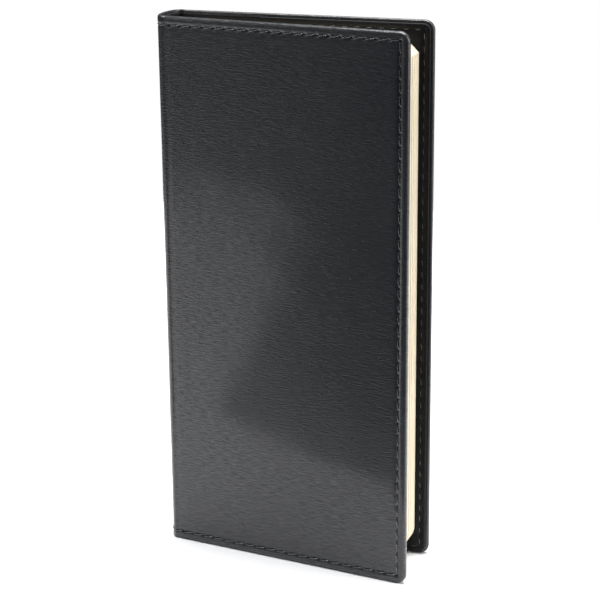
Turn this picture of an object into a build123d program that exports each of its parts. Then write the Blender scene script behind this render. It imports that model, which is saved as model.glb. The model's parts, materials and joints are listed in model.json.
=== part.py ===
from build123d import *
import os
from math import cos, radians, sin

# A slim pilot logbook: a sewn booklet slipped into a stitched leather cover.
# It stands upright on its tail edge with the front cover a few degrees open.
# +Z is up along the spine, +X runs from the spine to the fore edge, +Y is the back.
# The origin is the centre of the bounding box's bottom. All sizes are millimetres.

# ---- Leather cover ----
cover_height = 176.0
cover_width = 84.0  # hinge line to fore edge
corner_radius = 3.2
edge_rounding = 0.7
leather = 0.8
board = 0.8
turn_in = 0.4  # skived leather folded over the board; the infill card is as thick
turn_in_width = 7.0
lining = 0.3
sleeve = 0.6
sleeve_width = 56.0
card = 0.32  # the booklet's own card cover
card_clearance = 0.08  # across the card's thickness
card_end_clearance = 0.5  # between the card's fore edge and the end of its sleeve
card_side_clearance = 0.4  # between the card and the sleeve's head and tail seams
inner_inset = 1.0  # lining and sleeve stop this far inside the edge
board_inset = 0.8
board_start = 2.0  # the board stays this far off the hinge line
hinge_gap = 0.4
fit_gap = 0.04
seam_inset = 2.8
thread_width = 0.5
thread_depth = 0.3
sleeve_margin = 3.4  # width of the sleeve's sewn border

# ---- Spine ----
spine_depth = 3.2  # how far the spine rounds out behind the hinge lines
stiffener = 0.4
stiffener_margin = 1.0

# ---- Booklet ----
page_square = 0.5  # the card's fore edge past the pages'
page_side_square = 0.2  # the card's head and tail past the pages'
page_corner_radius = 6.0
page_corner_cut = 5.7  # the leaves' head corner is cut off straight
section_count = 6
section = 1.4
fold_radius = 0.15  # half the thickness of a section at its sewn fold
fold_taper = 5.0  # a section reaches full thickness this far from its fold
flyleaf = 0.2
leaf_gap = 0.08
fold_x = 0.6
mull = 0.3
spine_cloth = 0.4
sewing_thread = 0.26
sewing_stations = 4
sewing_span = 26.0
band_diameter = 1.2
card_hinge_gap = 2.2  # the card starts this far off the hinge line

# ---- Rest pose ----
front_rest = 7.5  # degrees the front cover stands open
flyleaf_share = 0.5  # of the cover's angle, as are the next ones
section_shares = [0.16, 0.1, 0.05]  # outermost section first

# ---- Values that follow from these ----
tray = leather + board + turn_in
slot_floor = tray + lining
slot = card + card_clearance
cover_thickness = slot_floor + slot + sleeve
block = 2 * flyleaf + section_count * section + (section_count + 3) * leaf_gap
spine_width = 2 * cover_thickness + block
hinge_y = spine_width / 2
card_height = cover_height - 2 * (sleeve_margin + card_side_clearance)
card_end = cover_width - sleeve_margin - card_end_clearance
page_height = card_height - 2 * page_side_square
page_width = card_end - page_square - fold_x
page_base = (cover_height - page_height) / 2
half_count = section_count // 2

front_reach = cover_width * sin(radians(front_rest)) + hinge_y
origin_x = (cover_width - spine_depth) / 2
origin_y = (hinge_y - front_reach) / 2


def outline(inset, start, end_inset=None):
    """The panel's shape in its own plane, drawn inwards by inset on its three free sides."""
    end = cover_width - (inset if end_inset is None else end_inset)
    height = cover_height - 2 * inset
    shape = Pos((start + end) / 2, cover_height / 2) * Rectangle(end - start, height)
    corners = shape.vertices().sort_by(Axis.X)[-2:]
    return fillet(corners, max(corner_radius - inset, edge_rounding))


def layer(shape, depth, thickness):
    """A flat layer that starts at a depth below the panel's outer face."""
    return extrude(Pos(0, 0, depth) * shape, amount=thickness)


def seam(start):
    """The three-sided strip that the seam's thread follows."""
    outer = outline(seam_inset - thread_width / 2, start)
    return outer - outline(seam_inset + thread_width / 2, start)


def panel_leather():
    body = layer(outline(0, hinge_gap), 0, tray)
    rim = [e for e in body.faces().sort_by(Axis.Z)[0].edges() if e.center().X > 2 * hinge_gap]
    body = fillet(rim, edge_rounding)
    body -= layer(outline(board_inset, 0), leather, board)
    body -= layer(outline(turn_in_width, 0), leather + board, turn_in)
    hinge_strip = Pos(0, cover_height / 2, leather + tray / 2)
    body -= hinge_strip * Box(2 * board_start, cover_height, tray)
    return body - layer(seam(0), 0, thread_depth)


def panel_board():
    return layer(outline(board_inset + fit_gap, board_start + fit_gap), leather, board)


def panel_infill():
    return layer(outline(turn_in_width + fit_gap, board_start + fit_gap), leather + board, turn_in)


def panel_lining():
    return layer(outline(inner_inset, board_start), tray, lining)


def panel_sleeve():
    start = cover_width - sleeve_width
    body = layer(outline(inner_inset, start), slot_floor, slot + sleeve)
    return body - layer(outline(sleeve_margin, 0), slot_floor, slot)


def panel_stitching():
    """Top thread sunk in the leather, and bobbin thread on the lining and on the sleeve."""
    step = cover_width - sleeve_width
    beside = Pos(step / 2, cover_height / 2) * Rectangle(step, cover_height)
    outer = layer(seam(hinge_gap), 0, thread_depth)
    on_lining = layer(seam(board_start) & beside, slot_floor, thread_depth / 2)
    on_sleeve = layer(seam(step), cover_thickness, thread_depth / 2)
    return [outer, *on_lining.solids(), *on_sleeve.solids()]


def panel_card():
    """The booklet's own card cover, held between the lining and the sleeve."""
    length = card_end - card_hinge_gap
    shape = Pos(card_hinge_gap + length / 2, cover_height / 2) * Rectangle(length, card_height)
    shape = fillet(shape.vertices().sort_by(Axis.X)[-2:], page_corner_radius)
    return layer(shape, slot_floor + card_clearance / 2, card)


def spine_layer(outside, thickness, y_limit, low, high):
    """A curved layer of the spine, from a depth below its rounded outer face."""
    outer = Ellipse(spine_depth - outside, hinge_y - outside)
    inner = Ellipse(spine_depth - outside - thickness, hinge_y - outside - thickness)
    side = Pos(-spine_depth / 2, 0) * Rectangle(spine_depth, 2 * y_limit)
    return extrude(Pos(0, 0, low) * ((outer - inner) & side), amount=high - low)


def spine_seams():
    """The seam's run over the spine, at the tail and at the head."""
    return [
        spine_layer(0, thread_depth, hinge_y, z - thread_width / 2, z + thread_width / 2)
        for z in (seam_inset, cover_height - seam_inset)
    ]


def spine_leather():
    body = spine_layer(0, leather, hinge_y, 0, cover_height)
    for thread in spine_seams():
        body -= thread
    return body


def leaf(thickness, fold):
    """A packet of leaves lying along +X from its fold at the origin."""
    half = thickness / 2
    points = [(0, -fold), (fold_taper, -half), (page_width, -half)]
    points += [(x, -y) for x, y in reversed(points)]
    profile = make_face(Polyline(*points, close=True)) + Circle(fold)
    body = extrude(profile, amount=page_height)
    fore = body.faces().sort_by(Axis.X)[-1]
    body = chamfer(fore.edges().sort_by(Axis.Z)[-1], page_corner_cut)
    fore = body.faces().sort_by(Axis.X)[-1]
    return fillet(fore.edges().sort_by(Axis.Z)[0], page_corner_radius)


def leaf_y():
    """Where each leaf packet's fold lies: flyleaf, sections, flyleaf, front to back."""
    widths = [flyleaf] + [section] * section_count + [flyleaf]
    places = []
    y = -block / 2
    for width in widths:
        y += leaf_gap + width / 2
        places.append(y)
        y += width / 2
    return places


def leaf_angles():
    """How far each leaf packet is turned at rest: only the front half follows the front cover."""
    front = [flyleaf_share] + section_shares[:half_count]
    return [front_rest * share for share in front] + [0.0] * (section_count + 2 - len(front))


def booklet_leaves():
    names = ["front_flyleaf"] + [f"section_{n + 1}" for n in range(section_count)] + ["back_flyleaf"]
    leaves = {}
    for name, y, angle in zip(names, leaf_y(), leaf_angles()):
        thin = "flyleaf" in name
        shape = leaf(flyleaf, flyleaf / 2) if thin else leaf(section, fold_radius)
        leaves[name] = Pos(fold_x, y, page_base) * Rot(0, 0, -angle) * shape
    return leaves


def back_strip(near, thickness):
    """A flat strip behind the folds, as wide as the sewn block."""
    x = near - thickness / 2
    return Pos(x, 0, cover_height / 2) * Box(thickness, block - 2 * leaf_gap, page_height)


def sewing():
    """Thread runs between the sewing stations, one row behind each section's fold."""
    x = fold_x - fold_radius - fit_gap - sewing_thread / 2
    middle = (sewing_stations - 1) / 2
    runs = []
    for y in leaf_y()[1:-1]:
        for n in range(sewing_stations):
            z = cover_height / 2 + (n - middle) * page_height / sewing_stations
            runs.append(Pos(x, y, z) * Cylinder(sewing_thread / 2, sewing_span))
    return runs


def end_band(z):
    """The woven band at the head or tail of the sewn block."""
    x = fold_x - fold_radius + band_diameter / 2
    return Pos(x, 0, z) * Rot(90, 0, 0) * Cylinder(band_diameter / 2, block - 2 * leaf_gap)


def build():
    panel = {
        "leather": panel_leather(),
        "board": panel_board(),
        "infill": panel_infill(),
        "lining": panel_lining(),
        "sleeve": panel_sleeve(),
        "stitching": panel_stitching(),
        "card": panel_card(),
    }
    nodes = {}
    for name, shape in panel.items():
        pieces = shape if isinstance(shape, list) else [shape]
        backs = [Pos(0, hinge_y, 0) * Rot(90, 0, 0) * piece for piece in pieces]
        fronts = [mirror(piece, about=Plane.XZ) for piece in backs]
        opened = Pos(0, -hinge_y, 0) * Rot(0, 0, -front_rest) * Pos(0, hinge_y, 0)
        nodes[f"back_{name}"] = backs
        nodes[f"front_{name}"] = [opened * piece for piece in fronts]
    stiff_edge = hinge_y - leather - stiffener_margin
    inside = leather + stiffener
    nodes["spine_leather"] = [spine_leather()]
    nodes["spine_stitching"] = spine_seams()
    ends = (inner_inset, cover_height - inner_inset)
    nodes["spine_stiffener"] = [spine_layer(leather, stiffener, stiff_edge, *ends)]
    nodes["spine_lining"] = [spine_layer(inside, lining, hinge_y, *ends)]
    thread_back = fold_x - fold_radius - fit_gap - sewing_thread
    nodes["booklet_mull"] = [back_strip(thread_back, mull)]
    nodes["booklet_spine_cloth"] = [back_strip(thread_back - mull, spine_cloth)]
    nodes["booklet_sewing"] = sewing()
    band_offset = page_height / 2 + band_diameter / 2 + fit_gap
    nodes["head_band"] = [end_band(cover_height / 2 + band_offset)]
    nodes["tail_band"] = [end_band(cover_height / 2 - band_offset)]
    for name, shape in booklet_leaves().items():
        nodes[name] = [shape]
    return nodes


os.makedirs("parts", exist_ok=True)
to_origin = Pos(-origin_x, -origin_y, 0)
for name, shapes in build().items():
    solids = [solid for shape in shapes for solid in (to_origin * shape).solids()]
    export_step(Compound(solids) if len(solids) > 1 else solids[0], f"parts/{name}.step")
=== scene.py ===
import json
import math

import bmesh
import bpy
import numpy as np
from mathutils import Matrix, Vector, noise


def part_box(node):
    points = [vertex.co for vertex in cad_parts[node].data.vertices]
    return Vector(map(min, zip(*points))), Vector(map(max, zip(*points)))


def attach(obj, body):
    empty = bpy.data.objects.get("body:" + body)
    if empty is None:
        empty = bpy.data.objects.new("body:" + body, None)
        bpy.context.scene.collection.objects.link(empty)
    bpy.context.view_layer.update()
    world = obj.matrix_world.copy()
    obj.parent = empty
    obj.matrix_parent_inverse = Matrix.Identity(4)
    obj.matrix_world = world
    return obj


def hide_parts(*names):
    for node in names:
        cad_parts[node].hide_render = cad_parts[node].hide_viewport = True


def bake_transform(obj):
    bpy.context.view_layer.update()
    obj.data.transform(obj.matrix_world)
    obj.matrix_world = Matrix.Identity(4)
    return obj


# A slim pilot logbook: a sewn booklet in a stitched leather cover, standing on its tail.
# Lengths are millimetres until a mesh is made; only the floor and the lamps are in metres.
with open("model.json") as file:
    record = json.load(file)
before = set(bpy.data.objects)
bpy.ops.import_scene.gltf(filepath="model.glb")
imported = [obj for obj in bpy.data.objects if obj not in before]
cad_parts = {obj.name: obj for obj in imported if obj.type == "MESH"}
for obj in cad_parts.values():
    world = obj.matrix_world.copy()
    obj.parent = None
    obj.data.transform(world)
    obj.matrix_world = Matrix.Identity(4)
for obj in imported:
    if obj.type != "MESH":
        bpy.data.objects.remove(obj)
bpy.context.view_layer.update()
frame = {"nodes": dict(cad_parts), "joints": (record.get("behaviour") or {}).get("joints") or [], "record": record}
mm = 0.001
scene = bpy.context.scene
scene.view_settings.view_transform = "Standard"
joints = {j["name"]: j for j in frame["joints"]}
couplings = {c["joint"]: c for c in frame["record"]["behaviour"]["couplings"]}


def boxOf(node):
    low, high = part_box(node)
    return np.array(low) / mm, np.array(high) / mm


def pivotOf(joint):
    return np.array(joints[joint]["pos_m"]) / mm


def ease(t):
    t = np.clip(t, 0, 1)
    return t * t * (3 - 2 * t)


# Sizes that the frame gives
frontPivot, backPivot = pivotOf("front_cover_hinge"), pivotOf("back_cover_hinge")
spineX, spineY = frontPivot[0], (frontPivot[1] + backPivot[1]) / 2
halfSpine = (backPivot[1] - frontPivot[1]) / 2
restAngle = -math.radians(joints["front_cover_hinge"]["range_deg"][0])
leatherLow, leatherHigh = boxOf("back_leather")
coverWidth, coverHeight = leatherHigh[0] - spineX, leatherHigh[2]
tray = leatherHigh[1] - leatherLow[1]
spineDepth = spineX - boxOf("spine_leather")[0][0]
liningFace = backPivot[1] - boxOf("back_lining")[0][1]
sleeveLow = boxOf("back_sleeve")[0]
sleeveStart, sleeveFace = sleeveLow[0] - spineX, backPivot[1] - sleeveLow[1]
spineLayers = spineDepth - (spineX - boxOf("spine_lining")[0][0])  # leather and stiffener
sides = {"front": -1, "back": 1}

# Run of the curved spine, from its middle to a hinge line
quarter = np.linspace(0, math.pi / 2, 3000)
steps = np.hypot(np.diff(-spineDepth * np.cos(quarter)), np.diff(halfSpine * np.sin(quarter)))
quarterRun = np.concatenate([[0], np.cumsum(steps)])
spineRun = quarterRun[-1]
skinEnd = spineRun + coverWidth

cover = {"radius": 3.2, "cornerSteps": 12, "leastRadius": 0.12, "foldStart": -0.4, "foldEnd": 2.6,
         "hingeRun": 2, "rimFade": 1.1, "mouthRim": 0.6, "mouthStretch": 0.4}
seam = {"inset": 2.8, "endStitches": 23, "foreStitches": 43}
# Where the lines run that a leather layer's mesh is cut along
spacing = {"divisions": 8, "every": 4, "first": 0.03, "nearest": 0.15, "last": 0.2, "denseTo": 4,
           "halfStepsTo": 3.2, "cornerRun": 16, "capInset": 0.5}
uvSpan = 100  # millimetres to one unit of a surface's UV map
endPitch = (skinEnd - seam["inset"]) / seam["endStitches"]
forePitch = (coverHeight - 2 * seam["inset"]) / seam["foreStitches"]


def bend(side, x, y):
    # x from the hinge line and y from the middle of the spine, both with the covers shut
    share = ease((x - cover["foldStart"]) / (cover["foldEnd"] - cover["foldStart"]))
    angle = (restAngle if side < 0 else 0) * share
    dy = y - halfSpine
    across = halfSpine + x * np.sin(angle) + dy * np.cos(angle)
    return spineX + x * np.cos(angle) - dy * np.sin(angle), spineY + side * across


def place(side, s, v, depth):
    # s runs from the middle of the spine round to the fore edge, depth goes inwards
    turn = np.interp(s, quarterRun, quarter)
    onSpine = s < spineRun
    x = np.where(onSpine, -(spineDepth - depth) * np.cos(turn), s - spineRun)
    y = np.where(onSpine, (halfSpine - depth) * np.sin(turn), halfSpine - depth)
    px, py = bend(side, x, y)
    return np.stack([px, py, v + 0 * px], axis=-1)


def blendCover(piece):
    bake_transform(piece)


def addNode(tree, kind, inputs=None, **settings):
    made = tree.nodes.new(kind)
    for key, value in settings.items():
        setattr(made, key, value)
    for key, value in (inputs or {}).items():
        socket = made.inputs[key]
        if isinstance(value, bpy.types.NodeSocket):
            tree.links.new(value, socket)
        else:
            socket.default_value = value
    return made


def math2(tree, operation, a, b=0.0, clamp=False):
    made = addNode(tree, "ShaderNodeMath", {0: a, 1: b}, operation=operation, use_clamp=clamp)
    return made.outputs[0]


def multiplyAdd(tree, a, b, extra):
    made = addNode(tree, "ShaderNodeMath", {0: a, 1: b, 2: extra}, operation="MULTIPLY_ADD")
    return made.outputs[0]


def spread(tree, value, low, high, toLow=0.0, toHigh=1.0):
    inputs = {"Value": value, "From Min": low, "From Max": high, "To Min": toLow, "To Max": toHigh}
    return addNode(tree, "ShaderNodeMapRange", inputs).outputs["Result"]


def noiseOf(tree, vector, scale, detail=2.0, roughness=0.5):
    inputs = {"Vector": vector, "Scale": scale, "Detail": detail, "Roughness": roughness}
    return addNode(tree, "ShaderNodeTexNoise", inputs).outputs[0]


def mixColour(tree, share, a, b):
    made = addNode(tree, "ShaderNodeMix", data_type="RGBA")
    for index, value in ((0, share), (6, a), (7, b)):
        if isinstance(value, bpy.types.NodeSocket):
            tree.links.new(value, made.inputs[index])
        elif index == 0:
            made.inputs[index].default_value = value
        else:
            made.inputs[index].default_value = (*value, 1)
    return made.outputs[2]


def newGroup(name, inputs, outputs):
    tree = bpy.data.node_groups.new(name, "ShaderNodeTree")
    for label, kind, value in inputs:
        made = tree.interface.new_socket(label, in_out="INPUT", socket_type=kind)
        if value is not None:
            made.default_value = value
    for label, kind in outputs:
        tree.interface.new_socket(label, in_out="OUTPUT", socket_type=kind)
    return tree, addNode(tree, "NodeGroupInput"), addNode(tree, "NodeGroupOutput")


def useGroup(tree, group, inputs):
    return addNode(tree, "ShaderNodeGroup", inputs, node_tree=group)


vectorKind, floatKind = "NodeSocketVector", "NodeSocketFloat"

# Long grain: shallow ripples that run across the cover, with fine pores in them
grain, grainIn, grainOut = newGroup(
    "longGrain",
    [("Vector", vectorKind, None), ("Ripple length", floatKind, 5.0), ("Ripple pitch", floatKind, 1.1)],
    [("Height", floatKind), ("Patches", floatKind)],
)
place2d = addNode(grain, "ShaderNodeSeparateXYZ", {0: grainIn.outputs["Vector"]})
drift = noiseOf(grain, grainIn.outputs["Vector"], 0.16, 2.0)
shifted = multiplyAdd(grain, drift, 0.45, place2d.outputs[1])
rippleX = math2(grain, "DIVIDE", place2d.outputs[0], grainIn.outputs["Ripple length"])
rippleY = math2(grain, "DIVIDE", shifted, grainIn.outputs["Ripple pitch"])
rippleVector = addNode(grain, "ShaderNodeCombineXYZ", {0: rippleX, 1: rippleY}).outputs[0]
ripple = noiseOf(grain, rippleVector, 1.0, 2.5, 0.5)
poreX = math2(grain, "MULTIPLY", place2d.outputs[0], 1.6)
poreY = math2(grain, "MULTIPLY", shifted, 3.4)
poreVector = addNode(grain, "ShaderNodeCombineXYZ", {0: poreX, 1: poreY}).outputs[0]
pore = noiseOf(grain, poreVector, 1.0, 1.0, 0.5)
grain.links.new(multiplyAdd(grain, pore, 0.3, ripple), grainOut.inputs["Height"])
patches = noiseOf(grain, grainIn.outputs["Vector"], 0.035, 3.0, 0.55)
grain.links.new(patches, grainOut.inputs["Patches"])

# Weave: two crossing sets of threads, over and under in turn
weave, weaveIn, weaveOut = newGroup(
    "plainWeave",
    [("U", floatKind, 0.0), ("V", floatKind, 0.0), ("Pitch", floatKind, 0.5)],
    [("Height", floatKind), ("Gap", floatKind)],
)
waves = []
for label in ("U", "V"):
    turns = math2(weave, "DIVIDE", weaveIn.outputs[label], weaveIn.outputs["Pitch"])
    waves.append(math2(weave, "SINE", math2(weave, "MULTIPLY", turns, math.pi)))
over = math2(weave, "MULTIPLY", waves[0], waves[1])
ridge = math2(weave, "MAXIMUM", *(math2(weave, "ABSOLUTE", wave) for wave in waves))
weave.links.new(multiplyAdd(weave, over, 0.35, 0.5), weaveOut.inputs["Height"])
weave.links.new(ridge, weaveOut.inputs["Gap"])


def newMaterial(name):
    material = bpy.data.materials.new(name)
    material.use_nodes = True
    tree = material.node_tree
    return material, tree, tree.nodes["Principled BSDF"]


def setBase(bsdf, **values):
    for label, value in values.items():
        bsdf.inputs[label.replace("_", " ")].default_value = value


def feed(tree, bsdf, **sockets):
    for label, socket in sockets.items():
        tree.links.new(socket, bsdf.inputs[label.replace("_", " ")])


def bumpOf(tree, heightSocket, strength, distance, under=None):
    inputs = {"Height": heightSocket, "Strength": strength, "Distance": distance * mm}
    if under is not None:
        inputs["Normal"] = under
    return addNode(tree, "ShaderNodeBump", inputs).outputs[0]


def enlarged(tree, vector, factor):
    inputs = {"Vector": vector, "Scale": (factor, factor, factor)}
    return addNode(tree, "ShaderNodeMapping", inputs).outputs[0]


def surfaceInMm(tree):
    return enlarged(tree, addNode(tree, "ShaderNodeUVMap", uv_map="surface").outputs[0], uvSpan)


def objectInMm(tree):
    return enlarged(tree, addNode(tree, "ShaderNodeTexCoord").outputs["Object"], 1 / mm)


def leatherMaterial(name, look):
    material, tree, bsdf = newMaterial(name)
    where = surfaceInMm(tree)
    hide = useGroup(
        tree, grain,
        {"Vector": where, "Ripple length": look["rippleLength"], "Ripple pitch": look["ripplePitch"]},
    )
    height = hide.outputs["Height"]
    rim = addNode(tree, "ShaderNodeAttribute", attribute_name="rim").outputs["Fac"]
    patch = spread(tree, hide.outputs["Patches"], 0.3, 0.7)
    colour = mixColour(tree, patch, look["dark"], look["light"])
    # Painted highlight: the grain's crests are lightened towards the crest colour, as if light caught the ridges
    crestHighlight = spread(tree, height, 0.45, 0.85)
    colour = mixColour(tree, math2(tree, "MULTIPLY", crestHighlight, 0.35), colour, look["crestHighlight"])
    rubbed = math2(tree, "MULTIPLY", rim, spread(tree, height, 0.5, 0.8), clamp=True)
    colour = mixColour(tree, math2(tree, "MULTIPLY", rubbed, look["wear"]), colour, look["rubbed"])
    relief = height
    if "creaseAt" in look:  # a line pressed beside the mouth of a sleeve
        across = addNode(tree, "ShaderNodeSeparateXYZ", {0: where}).outputs[0]
        away = math2(tree, "ABSOLUTE", math2(tree, "SUBTRACT", across, look["creaseAt"]))
        groove = spread(tree, away, 0.0, look["creaseWidth"])
        relief = math2(tree, "ADD", relief, math2(tree, "MULTIPLY", groove, look["creaseDepth"]))
    rough = spread(tree, height, 0.35, 0.9, look["roughLow"], look["roughHigh"])
    rough = math2(tree, "ADD", rough, math2(tree, "MULTIPLY", patch, 0.05))
    bump = bumpOf(tree, relief, look["bump"], look["relief"])
    feed(tree, bsdf, Base_Color=colour, Roughness=rough, Normal=bump)
    if look["coat"]:  # polish lies on the crests and is thin in the valleys
        coat = spread(tree, height, 0.48, 0.82, look["coat"] * 0.4, look["coat"] * 1.6)
        feed(tree, bsdf, Coat_Weight=coat)
    setBase(bsdf, Specular_IOR_Level=look["specular"], Coat_Roughness=look["coatRough"])
    return material


# The crest colour here is a painted highlight on the grain's ridges
blackLeather = leatherMaterial("black_leather", {
    "rippleLength": 2.8, "ripplePitch": 0.44, "bump": 1.0, "relief": 0.19,
    "dark": (0.0065, 0.007, 0.0085), "light": (0.011, 0.0115, 0.013), "crestHighlight": (0.024, 0.0245, 0.0265),
    "rubbed": (0.05, 0.05, 0.052), "wear": 0.5, "roughLow": 0.36, "roughHigh": 0.25,
    "specular": 0.46, "coat": 0.45, "coatRough": 0.13,
})
# The crest colour here is a painted highlight on the grain's ridges
liningLook = {
    "rippleLength": 1.6, "ripplePitch": 0.6, "bump": 0.6, "relief": 0.07,
    "dark": (0.0035, 0.0036, 0.0042), "light": (0.0062, 0.0064, 0.007), "crestHighlight": (0.01, 0.0102, 0.011),
    "rubbed": (0.035, 0.035, 0.036), "wear": 0.3, "roughLow": 0.5, "roughHigh": 0.38,
    "specular": 0.14, "coat": 0.0, "coatRough": 0.2,
}
blackLining = leatherMaterial("black_lining", liningLook)
blackSleeve = leatherMaterial("black_sleeve", {
    **liningLook, "creaseAt": spineRun + sleeveStart + 2.6, "creaseWidth": 0.45, "creaseDepth": 2.5})


def threadMaterial(name, look):
    material, tree, bsdf = newMaterial(name)
    where = objectInMm(tree)
    fibre = noiseOf(tree, where, 6.0, 2.0, 0.6)
    colour = mixColour(tree, spread(tree, fibre, 0.3, 0.7), look["dark"], look["light"])
    rough = spread(tree, fibre, 0.3, 0.7, look["rough"] - 0.07, look["rough"] + 0.1)
    feed(tree, bsdf, Base_Color=colour, Roughness=rough, Normal=bumpOf(tree, fibre, 0.4, 0.03))
    setBase(bsdf, Specular_IOR_Level=0.8, Coat_Weight=look["wax"], Coat_Roughness=0.12)
    return material


blackThread = threadMaterial("black_thread", {
    "dark": (0.018, 0.018, 0.02), "light": (0.045, 0.045, 0.048), "rough": 0.2, "wax": 1.0})
linenThread = threadMaterial("linen_thread", {
    "dark": (0.62, 0.58, 0.48), "light": (0.83, 0.8, 0.71), "rough": 0.6, "wax": 0.1})


def paperMaterial(name, look):
    # Ruled as a blank table on the faces; the rules stop short of every cut edge
    material, tree, bsdf = newMaterial(name)
    where = objectInMm(tree)
    axes = addNode(tree, "ShaderNodeSeparateXYZ", {0: where})
    x = math2(tree, "SUBTRACT", axes.outputs[0], spineX)
    z = axes.outputs[2]
    low, high, left, right = look["low"], look["high"], look["left"], look["right"]
    headLine, past, pastHead = look["headLine"], look["sidePast"], look["rowPast"]

    def line(value, centre, width):
        away = math2(tree, "ABSOLUTE", math2(tree, "SUBTRACT", value, centre))
        return math2(tree, "LESS_THAN", away, width / 2)

    def within(value, start, stop):
        after = math2(tree, "GREATER_THAN", value, start)
        return math2(tree, "MULTIPLY", after, math2(tree, "LESS_THAN", value, stop))

    rows = math2(tree, "PINGPONG", math2(tree, "SUBTRACT", z, low), look["rowPitch"] / 2)
    rules = math2(tree, "LESS_THAN", rows, look["ruleWidth"] / 2)
    rules = math2(tree, "MULTIPLY", rules, within(z, low - pastHead, high + pastHead))
    for centre in look["columns"]:
        rules = math2(tree, "MAXIMUM", rules, line(x, centre, look["ruleWidth"]))
    acrossTable = within(x, left - past, right + past)
    upTable = within(z, low - pastHead, headLine + pastHead)
    rules = math2(tree, "MULTIPLY", rules, math2(tree, "MULTIPLY", acrossTable, upTable))
    heading = math2(tree, "MULTIPLY", within(z, high, headLine), within(x, left, right))
    fibre = noiseOf(tree, where, 1.4, 4.0, 0.65)
    cloud = noiseOf(tree, where, 0.05, 2.0, 0.5)
    colour = mixColour(tree, spread(tree, cloud, 0.3, 0.7), look["dark"], look["light"])
    flecks = math2(tree, "MULTIPLY", spread(tree, fibre, 0.45, 0.75), 0.25)
    colour = mixColour(tree, flecks, colour, look["fleck"])
    colour = mixColour(tree, math2(tree, "MULTIPLY", heading, 0.3), colour, look["ink"])
    colour = mixColour(tree, math2(tree, "MULTIPLY", rules, 0.6), colour, look["ink"])
    feed(tree, bsdf, Base_Color=colour, Normal=bumpOf(tree, fibre, 0.25, 0.04))
    setBase(bsdf, Roughness=0.82, Specular_IOR_Level=0.3)
    return material


pageLook = {
    "dark": (0.87, 0.78, 0.6), "light": (0.92, 0.835, 0.66), "fleck": (0.8, 0.71, 0.55),
    "ink": (0.34, 0.40, 0.42), "low": 16.0, "high": 148.0, "headLine": 160.0, "left": 8.0, "right": 73.0,
    "rowPitch": 6.6, "ruleWidth": 0.22, "sidePast": 0.1, "rowPast": 0.2,
    "columns": (8.0, 19.0, 30.0, 41.0, 49.5, 58.0, 73.0),
}
creamPaper = paperMaterial("cream_paper", pageLook)
# A flyleaf is blank: its table lies far above the sheet
plainPaper = paperMaterial("cream_flyleaf", {**pageLook, "low": 500.0, "high": 501.0, "headLine": 502.0})


def flatFinish(name, look):
    # Board, card and other pieces whose finish is a speckle over one colour
    material, tree, bsdf = newMaterial(name)
    where = objectInMm(tree)
    speck = noiseOf(tree, where, look["grain"], 4.0, 0.6)
    cloud = noiseOf(tree, where, 0.08, 2.0, 0.5)
    colour = mixColour(tree, spread(tree, speck, 0.35, 0.7), look["dark"], look["light"])
    clouds = math2(tree, "MULTIPLY", spread(tree, cloud, 0.4, 0.7), 0.3)
    colour = mixColour(tree, clouds, colour, look["cloud"])
    rough = spread(tree, speck, 0.3, 0.7, look["rough"], look["rough"] + 0.12)
    bump = bumpOf(tree, speck, 0.4, look["relief"])
    feed(tree, bsdf, Base_Color=colour, Roughness=rough, Normal=bump)
    setBase(bsdf, Specular_IOR_Level=0.4)
    return material


greyBoard = flatFinish("grey_board", {
    "grain": 1.8, "dark": (0.22, 0.2, 0.175), "light": (0.4, 0.375, 0.34), "cloud": (0.3, 0.27, 0.23),
    "rough": 0.8, "relief": 0.08})
bookletCard = flatFinish("booklet_card", {
    "grain": 2.6, "dark": (0.032, 0.036, 0.045), "light": (0.062, 0.067, 0.078),
    "cloud": (0.045, 0.05, 0.06), "rough": 0.55, "relief": 0.07})


def wovenMaterial(name, look):
    material, tree, bsdf = newMaterial(name)
    where = objectInMm(tree)
    axes = addNode(tree, "ShaderNodeSeparateXYZ", {0: where})
    around = math2(tree, "ADD", axes.outputs[0], axes.outputs[1])
    cloth = useGroup(tree, weave, {"U": around, "V": axes.outputs[2], "Pitch": look["pitch"]})
    fibre = noiseOf(tree, where, 5.0, 2.0, 0.6)
    # Painted light: raised threads are lightened, and the gaps between them take the gap colour as painted shade
    shadedHeight = math2(tree, "ADD", cloth.outputs["Height"], math2(tree, "MULTIPLY", fibre, 0.3))
    colour = mixColour(tree, spread(tree, shadedHeight, 0.2, 1.1), look["dark"], look["light"])
    outsideGapShade = spread(tree, cloth.outputs["Gap"], look["open"], look["open"] + 0.25)
    colour = mixColour(tree, outsideGapShade, look["gap"], colour)
    feed(tree, bsdf, Base_Color=colour, Normal=bumpOf(tree, cloth.outputs["Height"], 0.6, 0.12))
    setBase(bsdf, Roughness=0.85, Specular_IOR_Level=0.25, Sheen_Weight=0.15)
    return material


# The gap colours are painted shade between the threads; the mull's openings are painted dark rather than cut
bookCloth = wovenMaterial("book_cloth", {
    "pitch": 0.36, "open": 0.1, "dark": (0.018, 0.018, 0.021), "light": (0.045, 0.045, 0.052),
    "gap": (0.012, 0.012, 0.013)})
openMull = wovenMaterial("open_mull", {
    "pitch": 0.9, "open": 0.55, "dark": (0.6, 0.56, 0.47), "light": (0.8, 0.76, 0.67),
    "gap": (0.22, 0.2, 0.17)})

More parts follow.
